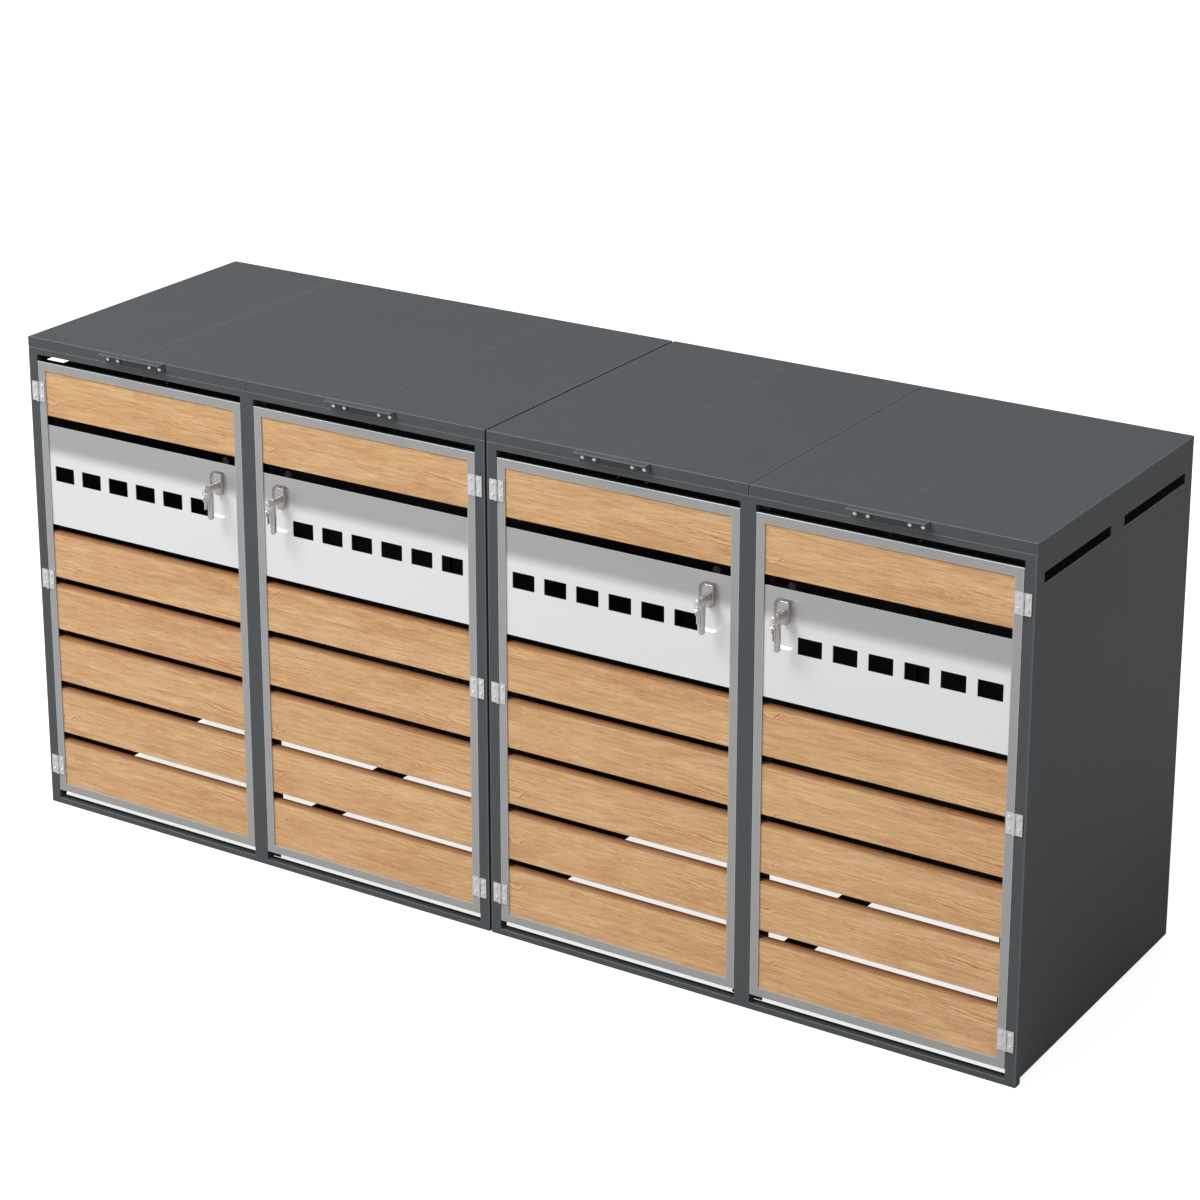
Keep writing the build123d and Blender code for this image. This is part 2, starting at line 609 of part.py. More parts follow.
def lid_handle(bay):
    """Folded grip over the lid's seam, held to the lip by two tabs."""
    seam = sum(bay.lid) / 2
    half = HANDLE_L / 2
    with BuildPart() as handle:
        with BuildSketch(Plane.YZ.offset(seam - half)):
            with BuildLine():
                grip = Polyline((FRONT, HEIGHT - LID_EDGE_R), (FRONT, HEIGHT - HANDLE_T),
                                (FRONT - HANDLE_PROUD, HEIGHT - HANDLE_T), (FRONT - HANDLE_PROUD, HEIGHT),
                                (FRONT + LID_EDGE_R, HEIGHT))
                RadiusArc(grip @ 1, grip @ 0, -LID_EDGE_R)
            make_face()
        extrude(amount=HANDLE_L)
        for side in (-1, 1):
            start = seam + side * half
            block(start, start - side * HANDLE_TAB_W, FRONT - HANDLE_T, FRONT,
                  HEIGHT - HANDLE_TAB_H, HEIGHT - HANDLE_T)
        front_edges = handle.edges().filter_by(Axis.X).group_by(Axis.Y)[0]
        fillet(front_edges, 1.4)
    save(handle, "lid_%d_handle" % bay.n)


def lid_fittings(bay):
    """Bright fittings of the lid: handle screws, bin-lid catch and the lid's hinge leaves."""
    seam = sum(bay.lid) / 2
    third = LID_HINGE_W / 3
    with BuildPart() as fittings:
        for offset in LID_SCREWS_X:
            for side in (-1, 1):
                rod_y(seam + side * offset, LID_SCREW_Z, LID_SCREW_R, FRONT - HANDLE_T - LID_SCREW_H,
                      FRONT - HANDLE_T)
        domes = fittings.faces().filter_by(Axis.Y).group_by(Axis.Y)[0]
        fillet(domes.edges(), LID_SCREW_H * 0.8)
        # catch: a plate under the lid with two legs, each turned forward at its foot
        y = FRONT + LIFTER_Y
        for side in (-1, 1):
            block(seam + side * (LID_SEAM / 2 + SHEET), seam + side * (LIFTER_X + 8), y - 10, y + 10,
                  LID_UNDER - 3, LID_UNDER)
        for side in (-1, 1):
            x = seam + side * LIFTER_X
            rod_z(x, y, LIFTER_R, LIFTER_Z, LID_UNDER - 2)
            rod_y(x, LIFTER_Z, LIFTER_R, y - 16, y)
            with Locations((x, y, LIFTER_Z), (x, y - 16, LIFTER_Z)):
                Sphere(LIFTER_R)
        for x in lid_hinge_x(bay):
            x0 = x - LID_HINGE_W / 2
            high = LID_HINGE_Z + KNUCKLE_R + 0.4
            block(x0, x0 + LID_HINGE_W, BACK, BACK + HINGE_T, high, high + LID_HINGE_LEAF)
            start = x0 + third + 0.2
            end = x0 + 2 * third - 0.2
            rod_x(LID_HINGE_Y, LID_HINGE_Z, KNUCKLE_R, start, end)
            block(start, end, BACK + 0.2, BACK + 0.2 + HINGE_T, LID_HINGE_Z, high)
            rod_x(LID_HINGE_Y, LID_HINGE_Z, PIN_R + PIN_FIT, start - 1, end + 1, mode=Mode.SUBTRACT)
    save(fittings, "lid_%d_fittings" % bay.n)


bays = [Bay(n) for n in (1, 2, 3, 4)]

for side_name, module_x in zip(("left", "right"), MODULE_X):
    side_wall(side_name + "_module_wall_left", module_x, 1)
    side_wall(side_name + "_module_wall_right", module_x + MODULE_W, -1)
    back_wall(side_name + "_module_back", module_x)
    front_frame(side_name + "_module_front_frame", module_x)
    rear_frame(side_name + "_module_rear_frame", module_x)

centre_rails("centre_rails")
rear_feet("rear_feet")
couplers("module_couplers")
lid_buffers("lid_buffers", bays)
post_hinge_leaves("post_hinge_leaves", bays)
wall_lid_leaves("wall_lid_hinge_leaves", bays)

for bay in bays:
    door_face_frame(bay)
    door_sub_frame(bay)
    door_boards(bay)
    door_panel(bay)
    lock_body(bay)
    lock_lever(bay)
    lock_keys(bay)
    door_hinge_leaves(bay)
    lid_halves(bay)
    lid_handle(bay)
    lid_fittings(bay)
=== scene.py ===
"""Looks of the bin store: materials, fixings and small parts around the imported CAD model."""

import math
import random

import bmesh
import bpy
from mathutils import Matrix, Vector


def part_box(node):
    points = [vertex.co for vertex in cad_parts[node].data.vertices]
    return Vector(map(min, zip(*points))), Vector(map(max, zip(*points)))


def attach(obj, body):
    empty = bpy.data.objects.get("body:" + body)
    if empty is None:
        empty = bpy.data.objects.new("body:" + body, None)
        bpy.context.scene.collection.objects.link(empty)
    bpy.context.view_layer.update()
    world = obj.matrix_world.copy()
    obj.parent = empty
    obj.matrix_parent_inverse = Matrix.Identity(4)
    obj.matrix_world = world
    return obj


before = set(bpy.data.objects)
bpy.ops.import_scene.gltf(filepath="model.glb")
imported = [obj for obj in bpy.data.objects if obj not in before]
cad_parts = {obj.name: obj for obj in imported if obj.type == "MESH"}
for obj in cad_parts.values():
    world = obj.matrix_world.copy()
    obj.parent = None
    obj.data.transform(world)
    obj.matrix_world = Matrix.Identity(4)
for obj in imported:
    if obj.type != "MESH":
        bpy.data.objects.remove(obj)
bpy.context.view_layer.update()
random.seed(7)

DOORS = (1, 2, 3, 4)
MM = 0.001
X, Y, Z = 0, 1, 2

# ---- oak figure ----
BAND_PITCH = 113.9 * MM         # height after which the figured band comes back
RING_PITCH = 2.9 * MM           # distance of the growth lines
KNOT_FROM_END = 34 * MM         # knot, from the left end of a board
KNOT_REACH = 24 * MM            # how far from the knot the lines bend
GRAIN_DROP = 26 * MM            # how far the lines drift down along a board
GRAIN_FADE = 49 * MM            # height over which the drift fades; under 1.5 drops, lines close into rings
GRAIN_FULL = 8 * MM             # half height of the band that drifts fully
PAINTED_SHADE_DEPTH = 10 * MM           # painted shade: darker strip under the top edge of a lower board, where the board above shades it

# ---- stage, light and camera ----
FLOOR_RADIUS = 60.0
FLOOR_GLOW = 0.84               # emission of the floor, for camera rays only
AMBIENT = 0.43                  # light from the surroundings
BACKDROP = 1.0                  # brightness of the surroundings, for camera rays only
KEY_PLACE = (-3.6, -5.2, 9.0)
KEY_TARGET = (0, 0, 0.6)
KEY_SIZE = 5.0
KEY_POWER = 1000
CAMERA_PLACE = (3.784, -5.870, 3.420)
CAMERA_TILT = 17.25             # degrees below level
CAMERA_TURN = 32.39             # degrees to the right of the front
CAMERA_LENS = 98.5
CAMERA_SHIFT_Y = -0.20
CAMERA_FAR = 200.0

# ---- small pieces ----
SCREW_SHARE = 0.24              # board screws, from a board's edges, as a share of its height
LOW_HEAD = 0.9 * MM             # board screws, which clear the stop plate behind the closed door
BATTEN = 17.5 * MM              # screw line, from the side of the sub-frame
NUT_GAP = 0.2 * MM              # between the bearing's two nuts
GRIP_SCREWS = (47 * MM, 76.5 * MM)      # from the lid's seam, on both sides
LID_HINGES = 215 * MM           # lid hinges, from the lid's seam
LID_HINGE_SCREW = 33 * MM       # outer screws, from the middle of a lid hinge
TUBE = 24.5 * MM                # outer post, across
CENTRE_HALF = 17.75 * MM        # half of the centre post
RAIL_TOP = 14 * MM              # top of the bottom front rail
TOP_RAIL_H = 15 * MM
FOOT_INSET = 60 * MM
BACK_RIVET_ROWS = 8
BACK_RIVET_COLUMNS = 6
PAD_HEIGHTS = (250 * MM, 640 * MM, 1050 * MM)

# ---- places taken from the frame ----
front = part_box("left_module_front_frame")[0].y          # front face of the body
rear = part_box("left_module_back")[1].y                  # back face of the body


def levels(node, axis):
    """(low, high) of each solid part of a node along an axis, from the reach of its faces."""
    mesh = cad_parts[node].data
    reaches = []
    for face in mesh.polygons:
        places = [mesh.vertices[k].co[axis] for k in face.vertices]
        reaches.append((min(places), max(places)))
    reaches.sort()
    parts = [list(reaches[0])]
    for low, high in reaches:
        if low > parts[-1][1] + MM:
            parts.append([low, high])
        parts[-1][1] = max(parts[-1][1], high)
    return parts


# ---- shader arithmetic ----
def feed(tree, socket, value):
    """Link a node's output to a socket, or set the socket to a plain value."""
    if isinstance(value, Value):
        tree.links.new(value.socket, socket)
    else:
        socket.default_value = value


class Value:
    """Output of a shader node, which takes part in plain arithmetic."""

    def __init__(self, tree, socket):
        self.tree = tree
        self.socket = socket

    def math(self, operation, *others):
        node = self.tree.nodes.new("ShaderNodeMath")
        node.operation = operation
        for socket, value in zip(node.inputs, (self,) + others):
            feed(self.tree, socket, value)
        return Value(self.tree, node.outputs[0])

    def __add__(self, other):
        return self.math("ADD", other)

    def __sub__(self, other):
        return self.math("SUBTRACT", other)

    def __mul__(self, other):
        return self.math("MULTIPLY", other)

    def __truediv__(self, other):
        return self.math("DIVIDE", other)

    def __pow__(self, other):
        return self.math("POWER", other)

    def step(self, low, high, start=0.0, end=1.0):
        """start below low, end above high, smooth between."""
        node = self.tree.nodes.new("ShaderNodeMapRange")
        node.interpolation_type = "SMOOTHSTEP"
        for name, value in (("From Min", low), ("From Max", high), ("To Min", start), ("To Max", end)):
            node.inputs[name].default_value = value
        feed(self.tree, node.inputs["Value"], self)
        return Value(self.tree, node.outputs[0])


class Paint:
    """A material whose colour, roughness and relief come from nodes."""

    def __init__(self, name, metallic=0.0, specular=0.5):
        self.material = bpy.data.materials.new(name)
        self.material.use_nodes = True
        self.tree = self.material.node_tree
        self.shader = self.tree.nodes["Principled BSDF"]
        self.shader.inputs["Metallic"].default_value = metallic
        self.shader.inputs["Specular IOR Level"].default_value = specular
        self.place = self.tree.nodes.new("ShaderNodeTexCoord").outputs["Object"]

    def axes(self):
        """X, Y and Z of the point, in metres, in the part's frame at rest."""
        node = self.tree.nodes.new("ShaderNodeSeparateXYZ")
        self.tree.links.new(self.place, node.inputs[0])
        return [Value(self.tree, socket) for socket in node.outputs]

    def noise(self, scale, stretch=(1, 1, 1), detail=3.0, roughness=0.55, distortion=0.0, seed=0.0):
        """Noise with scale features to the metre; a stretch below 1 draws them out on that axis."""
        mapping = self.tree.nodes.new("ShaderNodeMapping")
        mapping.inputs["Scale"].default_value = stretch
        mapping.inputs["Location"].default_value = (seed * 1.7, seed * 0.9, seed * 2.3)
        self.tree.links.new(self.place, mapping.inputs["Vector"])
        node = self.tree.nodes.new("ShaderNodeTexNoise")
        node.inputs["Scale"].default_value = scale
        node.inputs["Detail"].default_value = detail
        node.inputs["Roughness"].default_value = roughness
        node.inputs["Distortion"].default_value = distortion
        self.tree.links.new(mapping.outputs[0], node.inputs["Vector"])
        return Value(self.tree, node.outputs["Fac"])

    def edge(self, radius, sides=1.0):
        """1 on the upper edges of the piece, sides on the edges that don't face up, 0 on its faces."""
        bevel = self.tree.nodes.new("ShaderNodeBevel")
        bevel.samples = 4
        bevel.inputs["Radius"].default_value = radius
        geometry = self.tree.nodes.new("ShaderNodeNewGeometry")
        dot = self.tree.nodes.new("ShaderNodeVectorMath")
        dot.operation = "DOT_PRODUCT"
        self.tree.links.new(bevel.outputs[0], dot.inputs[0])
        self.tree.links.new(geometry.outputs["Normal"], dot.inputs[1])
        painted_edge_highlight = Value(self.tree, dot.outputs["Value"]).step(0.90, 0.995, 1.0, 0.0)
        if sides == 1.0:
            return painted_edge_highlight
        parts = self.tree.nodes.new("ShaderNodeSeparateXYZ")
        self.tree.links.new(bevel.outputs[0], parts.inputs[0])
        return painted_edge_highlight * Value(self.tree, parts.outputs[2]).step(0.05, 0.35, sides, 1.0)

    def mix(self, factor, first, second):
        """Colour from first to second as factor goes from 0 to 1."""
        node = self.tree.nodes.new("ShaderNodeMix")
        node.data_type = "RGBA"
        feed(self.tree, node.inputs[0], factor)
        for socket, colour in ((node.inputs[6], first), (node.inputs[7], second)):
            feed(self.tree, socket, colour if isinstance(colour, Value) else tuple(colour) + (1.0,))
        return Value(self.tree, node.outputs[2])

    def finish(self, colour, roughness, relief, depth):
        """Connect the colour, the roughness and a relief of that depth in metres."""
        bump = self.tree.nodes.new("ShaderNodeBump")
        bump.inputs["Strength"].default_value = 1.0
        bump.inputs["Distance"].default_value = depth
        feed(self.tree, bump.inputs["Height"], relief)
        feed(self.tree, self.shader.inputs["Base Color"], colour)
        feed(self.tree, self.shader.inputs["Roughness"], roughness)
        self.tree.links.new(bump.outputs[0], self.shader.inputs["Normal"])
        return self.material


# ---- materials ----
def powder_coat(name, colour, scuff_and_highlight_colour):
    """Fine-textured powder coat with lighter scuffs, and a painted highlight along its edges, strongest on
    the upper ones.
    """
    paint = Paint(name, specular=0.35)
    cloud = paint.noise(3.0, detail=2.0)
    grain = paint.noise(900.0, detail=2.0, seed=3)
    orange_peel = paint.noise(260.0, detail=2.0, seed=5)
    scuffs = paint.noise(38.0, stretch=(1, 1, 0.25), detail=5.0, roughness=0.7, seed=9)
    dark = [channel * 0.90 for channel in colour]
    light = [channel * 1.10 for channel in colour]
    base = paint.mix(cloud * 0.6 + grain * 0.4, dark, light)
    base = paint.mix(scuffs.step(0.62, 0.80, 0.0, 0.10), base, scuff_and_highlight_colour)
    # painted highlight: the edges turn lighter, the upper ones most, a little patchy along their length
    painted_edge_highlight = paint.edge(2.2 * MM, sides=0.25) * paint.noise(60.0, seed=11).step(0.2, 0.6, 0.6, 1.0)
    base = paint.mix(painted_edge_highlight, base, scuff_and_highlight_colour)
    roughness = grain * 0.10 + 0.42 + scuffs * 0.12
    return paint.finish(base, roughness, grain * 0.4 + orange_peel * 0.6, 0.12 * MM)


def satin_aluminium(name):
    """Light grey satin frame: fine blasted grain and faint drawing marks."""
    paint = Paint(name, metallic=0.25, specular=0.4)
    cloud = paint.noise(5.0, detail=2.0, seed=2)
    grain = paint.noise(1100.0, detail=2.0, seed=4)
    base = paint.mix(cloud * 0.5 + grain * 0.5, (0.33, 0.335, 0.335), (0.40, 0.405, 0.405))
    # painted highlight along the edges of the frame
    base = paint.mix(paint.edge(1.8 * MM) * 0.85, base, (0.80, 0.81, 0.82))
    return paint.finish(base, grain * 0.12 + 0.36, grain, 0.06 * MM)


def brushed_metal(name, dark, light, metallic, roughness, stretch, depth=0.05 * MM):
    """Metal with fine brushing lines, drawn out where stretch is below 1."""
    paint = Paint(name, metallic=metallic, specular=0.5)
    lines = paint.noise(900.0, stretch=stretch, detail=3.0, roughness=0.6, seed=6)
    cloud = paint.noise(7.0, detail=3.0, seed=8)
    marks = paint.noise(120.0, detail=5.0, roughness=0.75, seed=12)
    base = paint.mix(lines * 0.6 + cloud * 0.4, dark, light)
    base = paint.mix(marks.step(0.60, 0.78, 0.0, 0.25), base, [channel * 0.7 for channel in dark])
    # painted highlight along the edges
    base = paint.mix(paint.edge(0.8 * MM) * 0.8, base, (0.95, 0.95, 0.95))
    return paint.finish(base, lines * 0.14 + (roughness - 0.07) + marks * 0.06, lines, depth)


def brushed_panel(name, top):
    """Brushed sheet, lines along X. A painted shadow darkens a strip along the top edge, at Z = top, and
    fades out below it; the edges carry a painted highlight.
    """
    paint = Paint(name, metallic=0.30, specular=0.6)
    z = paint.axes()[Z]
    lines = paint.noise(900.0, stretch=(0.02, 1, 1), detail=3.0, roughness=0.6, seed=6)
    cloud = paint.noise(4.0, stretch=(0.4, 1, 1), detail=2.0, seed=8)
    base = paint.mix(lines * 0.6 + cloud * 0.4, (0.76, 0.76, 0.76), (0.90, 0.90, 0.90))
    # painted shadow of the board above, over the top of the panel
    painted_shadow = z.step(top - 85 * MM, top - 48 * MM)
    base = paint.mix(painted_shadow * (cloud * 0.1 + 0.9), base, (0.40, 0.40, 0.40))
    # painted highlight along the edges
    base = paint.mix(paint.edge(1.2 * MM), base, (0.95, 0.95, 0.95))
    return paint.finish(base, lines * 0.14 + 0.26, lines, 0.04 * MM)


def cast_metal(name, dark, light, roughness):
    """Satin cast metal: soft pits, and a painted highlight along its edges."""
    paint = Paint(name, metallic=0.9, specular=0.5)
    cloud = paint.noise(60.0, detail=3.0, seed=1)
    pits = paint.noise(1400.0, detail=3.0, seed=7)
    base = paint.mix(cloud, dark, light)
    # painted highlight along the edges
    base = paint.mix(paint.edge(0.7 * MM) * 0.6, base, [min(1.0, channel * 1.5) for channel in light])
    return paint.finish(base, pits * 0.2 + roughness - 0.1, pits, 0.08 * MM)


def rubber(name):
    """Black rubber with a dusty bloom."""
    paint = Paint(name, specular=0.3)
    bloom = paint.noise(90.0, detail=4.0, seed=13)
    grain = paint.noise(1500.0, detail=2.0, seed=14)
    base = paint.mix(bloom.step(0.4, 0.8), (0.012, 0.012, 0.013), (0.035, 0.034, 0.033))
    return paint.finish(base, bloom * 0.2 + 0.65, grain, 0.1 * MM)


def oak(name, node):
    """Light oak, grain along X. A figured band with a knot repeats up the door.
    The boards under the panel carry a painted shade along their upper edges, where the board above shades
    them."""
    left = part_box(node)[0].x
    tops = [high for low, high in levels(node, Z)]
    board_pitch = tops[1] - tops[0]
    paint = Paint(name, specular=0.3)
    x, _, z = paint.axes()
    along = x - left
    sway = paint.noise(2.6, stretch=(1, 1, 2.2), detail=2.0, seed=1) - 0.5
    ripple = paint.noise(16.0, stretch=(1, 1, 4.0), detail=4.0, roughness=0.6, seed=2) - 0.5
    row = z + sway * (16 * MM) + ripple * (5 * MM)
    across = ((row / BAND_PITCH + 0.5).math("FRACT") - 0.5) * BAND_PITCH
    # the grain drifts down along the board, within the figured band, and runs around the knot
    drift = along.step(0.18, 0.58) * GRAIN_DROP
    fade = across.math("ABSOLUTE").step(GRAIN_FULL, GRAIN_FULL + GRAIN_FADE, 1.0, 0.0)
    grain = across + drift * fade
    knot_x = (along - KNOT_FROM_END) * 0.40
    knot = (knot_x * knot_x + across * across).math("SQRT")
    grain = grain + knot.step(0.0, KNOT_REACH, 16 * MM, 0.0)
    ring = (grain * (2 * math.pi / RING_PITCH) + ripple * 7.0).math("SINE") * 0.5 + 0.5
    figure = along.step(0.22, 0.30) + along.step(0.02, 0.12, 0.9, 0.0)
    band = across.math("ABSOLUTE").step(16 * MM, 44 * MM, 1.0, 0.0)
    broken = paint.noise(26.0, stretch=(0.35, 1, 2.5), detail=3.0, seed=15).step(0.34, 0.62, 0.25, 1.0)
    lines = (ring ** 3.5) * (figure * band * 0.45 + 0.60) * broken
    fibre = paint.noise(520.0, stretch=(0.028, 0.3, 1), detail=4.0, roughness=0.7, seed=4)
    streak = paint.noise(150.0, stretch=(0.06, 0.5, 1), detail=5.0, roughness=0.72, distortion=0.4, seed=5)
    pores = paint.noise(900.0, stretch=(0.04, 0.3, 1), detail=2.0, seed=6).step(0.56, 0.70)
    tone = paint.noise(7.0, stretch=(0.25, 1, 2.0), detail=2.0, seed=8)
    base = paint.mix(tone.step(0.3, 0.7), (0.66, 0.395, 0.185), (0.74, 0.475, 0.245))
    base = paint.mix(streak.step(0.42, 0.62, 0.0, 0.52), base, (0.55, 0.255, 0.095))
    base = paint.mix(fibre.step(0.44, 0.66, 0.0, 0.55), base, (0.90, 0.66, 0.38))
    base = paint.mix(lines, base, (0.45, 0.165, 0.055))
    base = paint.mix(pores * 0.38, base, (0.36, 0.16, 0.07))
    # painted shade under the top edge of each board below the panel, from the board above it
    under_top = ((z * -1.0 + (tops[0] + 0.4 * MM)) / board_pitch).math("FRACT") * board_pitch
    lower_boards = z.step(tops[-2], tops[-2] + 20 * MM, 1.0, 0.0)
    painted_shade = under_top.step(0.5 * MM, PAINTED_SHADE_DEPTH, 0.85, 0.0) * lower_boards
    base = paint.mix(painted_shade, base, (0.27, 0.105, 0.035))
    relief = fibre * 0.5 - lines * 0.6 - pores * 0.4
    return paint.finish(base, fibre * 0.15 + 0.45, relief, 0.5 * MM)


def stage_floor(name):
    """Pale floor which looks evenly bright and still takes a soft shadow."""
    material = bpy.data.materials.new(name)
    material.use_nodes = True
    tree = material.node_tree
    shader = tree.nodes["Principled BSDF"]
    shader.inputs["Base Color"].default_value = (0.60, 0.60, 0.60, 1)
    shader.inputs["Roughness"].default_value = 0.9
    shader.inputs["Specular IOR Level"].default_value = 0.1
    shader.inputs["Emission Color"].default_value = (1, 1, 1, 1)
    ray = tree.nodes.new("ShaderNodeLightPath")
    glow = Value(tree, ray.outputs["Is Camera Ray"]) * FLOOR_GLOW
    feed(tree, shader.inputs["Emission Strength"], glow)
    return material


finishes = {
    "body_coat": powder_coat("anthracite_coat", (0.065, 0.073, 0.078), (0.38, 0.40, 0.41)),
    "black_coat": powder_coat("black_coat", (0.010, 0.010, 0.011), (0.05, 0.05, 0.052)),
    "door_frame": satin_aluminium("satin_aluminium"),
    "panel_sheet": brushed_panel("brushed_panel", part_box("door_1_panel")[1].z),
    "lock_metal": cast_metal("cast_lock_metal", (0.46, 0.43, 0.415), (0.60, 0.57, 0.555), 0.30),
    "key_steel": brushed_metal("key_steel", (0.62, 0.61, 0.60), (0.78, 0.77, 0.76), 1.0, 0.26, (1, 1, 0.08)),
    "stainless": brushed_metal("stainless", (0.66, 0.66, 0.67), (0.80, 0.80, 0.81), 0.60, 0.26, (1, 1, 0.06)),
    "rubber": rubber("rubber"),
}
bright_screws = brushed_metal("bright_screws", (0.80, 0.80, 0.80), (0.93, 0.93, 0.93), 0.60, 0.22,
                              (1, 1, 0.3))
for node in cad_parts.values():
    for slot in node.material_slots:
        name = slot.material.name.split(".")[0]
        if name == "oak_board":
            slot.material = oak(node.name + "_oak", node.name)
        elif node.name.endswith("_fittings"):
            slot.material = bright_screws
        else:
            slot.material = finishes[name]


# ---- small pieces ----
def piece(name, shape, slot, body, sharp=35):
    """Finish a bmesh as a visible piece: it takes the finish of a slot and rides on a CAD body."""
    bmesh.ops.recalc_face_normals(shape, faces=shape.faces)
    mesh = bpy.data.meshes.new(name)
    shape.to_mesh(mesh)
    shape.free()
    mesh.shade_smooth()
    mesh.set_sharp_from_angle(angle=math.radians(sharp))
    mesh.materials.append(finishes[slot])
    thing = bpy.data.objects.new(name, mesh)
    bpy.context.scene.collection.objects.link(thing)
    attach(thing, body)


def towards(direction):
    """Rotation that turns +Z to a direction."""
    return Vector(direction).to_track_quat("Z", "Y").to_matrix().to_4x4()


def ring_of(shape, spin, segments, reach, height=0):
    """Ring of vertices about the axis of spin; reach(angle) is its radius."""
    ring = []
    for step in range(segments):
        angle = 2 * math.pi * step / segments
        radius = reach(angle)
        place = Vector((radius * math.cos(angle), radius * math.sin(angle), height))
        ring.append(shape.verts.new(spin @ place))
    return ring


def skin(shape, rings, following):
    """Faces between each ring and the one that follows it."""
    for low, high in zip(rings, following):
        for step in range(len(low)):
            after = (step + 1) % len(low)
            shape.faces.new((low[step], low[after], high[after], high[step]))


def closed_skin(shape, rings):
    """Faces along a row of rings, and over both of its ends."""
    skin(shape, rings, rings[1:])
    shape.faces.new(list(reversed(rings[0])))
    shape.faces.new(rings[-1])


def turned(shape, place, direction, profile, outline=None, segments=24):
    """Closed turned shape on an axis at place: profile is (radius, height) pairs from the base to the top.
    outline(angle, k) scales the radius of ring k, which makes hexagons and recesses."""
    spin = Matrix.Translation(place) @ towards(direction) @ Matrix.Rotation(random.uniform(0, 1.0), 4, "Z")
    rings = []
    for k, (radius, height) in enumerate(profile):
        rings.append(ring_of(shape, spin, segments,
                             lambda angle: radius * (outline(angle, k) if outline else 1.0), height))
    closed_skin(shape, rings)


def hexagon(angle):
    """Radius of a hexagon at an angle, for corners at radius 1."""
    sector = math.radians(60)
    return math.cos(sector / 2) / math.cos(angle % sector - sector / 2)


def lobes(angle, k):
    """Six-lobe recess: only the two inner rings of a screw head have it."""
    return 1.0 + (0.22 * math.cos(6 * angle) if k >= 5 else 0.0)


def screw_head(shape, place, direction, radius=3.4 * MM, height=1.9 * MM):
    """Domed head with a six-lobe recess."""
    turned(shape, place, direction,
           ((radius, 0), (radius, height * 0.35), (radius * 0.93, height * 0.65),
            (radius * 0.78, height * 0.88), (radius * 0.56, height), (radius * 0.42, height),
            (radius * 0.38, height * 0.35)), lobes, 36)


def rivet_head(shape, place, direction, radius=3.2 * MM, height=1.1 * MM):
    """Blind rivet: flat dome with the small hollow that its mandrel leaves."""
    turned(shape, place, direction,
           ((radius, 0), (radius, height * 0.3), (radius * 0.86, height * 0.72),
            (radius * 0.62, height * 0.95), (radius * 0.38, height), (radius * 0.32, height * 0.55)))


def hex_nut(shape, place, direction, across, height, bore):
    """Hexagon nut with chamfered corners and a bore, open at both ends."""
    corner = across / 2 / math.cos(math.radians(30))
    spin = Matrix.Translation(place) @ towards(direction)
    segments = 36
    bevel = 0.4 * MM
    profile = ((bore, bevel, False), (bore + bevel, 0, False), (across / 2, 0, False),
               (corner, height * 0.16, True), (corner, height * 0.84, True), (across / 2, height, False),
               (bore + bevel, height, False), (bore, height - bevel, False))
    rings = []
    for radius, level, six_sided in profile:
        rings.append(ring_of(shape, spin, segments,
                             lambda angle: radius * (hexagon(angle) if six_sided else 1.0), level))
    skin(shape, rings, rings[1:] + rings[:1])


def cap_nut(shape, place, direction, across, height):
    """Closed nut: a hexagon under a dome."""
    corner = across / 2 / math.cos(math.radians(30))
    turned(shape, place, direction,
           ((corner * 0.94, 0), (corner, height * 0.08), (corner, height * 0.40),
            (across * 0.44, height * 0.48), (across * 0.40, height * 0.70),
            (across * 0.28, height * 0.90), (across * 0.10, height)),
           lambda angle, k: hexagon(angle) if k < 3 else 1.0)


def weld_bead(shape, start, end, radius):
    """Fillet weld from start to end, with the ripples of its runs."""
    start, end = Vector(start), Vector(end)
    length = (end - start).length
    rings = max(6, int(length / (1.4 * MM)))
    turn = towards(end - start)
    loops = []
    for k in range(rings + 1):
        share = k / rings
        swell = radius * (0.80 + 0.16 * math.sin(k * 2.1) + random.uniform(-0.04, 0.04))
        swell *= min(1.0, 4 * min(share, 1 - share) + 0.35)
        spin = Matrix.Translation(start.lerp(end, share)) @ turn
        loops.append(ring_of(shape, spin, 12, lambda angle: swell))
    closed_skin(shape, loops)


def folded_rib(shape, x, y0, y1, top, width, depth, gauge):
    """Hat-shaped stiffening rib along Y, open towards the sheet above it."""
    half = width / 2
    crown = half * 0.72
    brim = 7 * MM
    outer = [(-half - brim, 0), (-half, 0), (-crown, -depth), (crown, -depth), (half, 0), (half + brim, 0)]
    inner = [(half + brim, -gauge), (half + gauge, -gauge), (crown + gauge, -depth - gauge),
             (-crown - gauge, -depth - gauge), (-half - gauge, -gauge), (-half - brim, -gauge)]
    ends = [[shape.verts.new((x + across, y, top + level)) for across, level in outer + inner]
            for y in (y0, y1)]
    count = len(ends[0])
    for k in range(count):
        after = (k + 1) % count
        shape.faces.new((ends[0][k], ends[0][after], ends[1][after], ends[1][k]))
    for end in ends:
        for k in range(len(outer) - 1):
            shape.faces.new((end[k], end[k + 1], end[count - 2 - k], end[count - 1 - k]))


def middle(low_high):
    """Half way between two values."""
    return (low_high[0] + low_high[1]) / 2


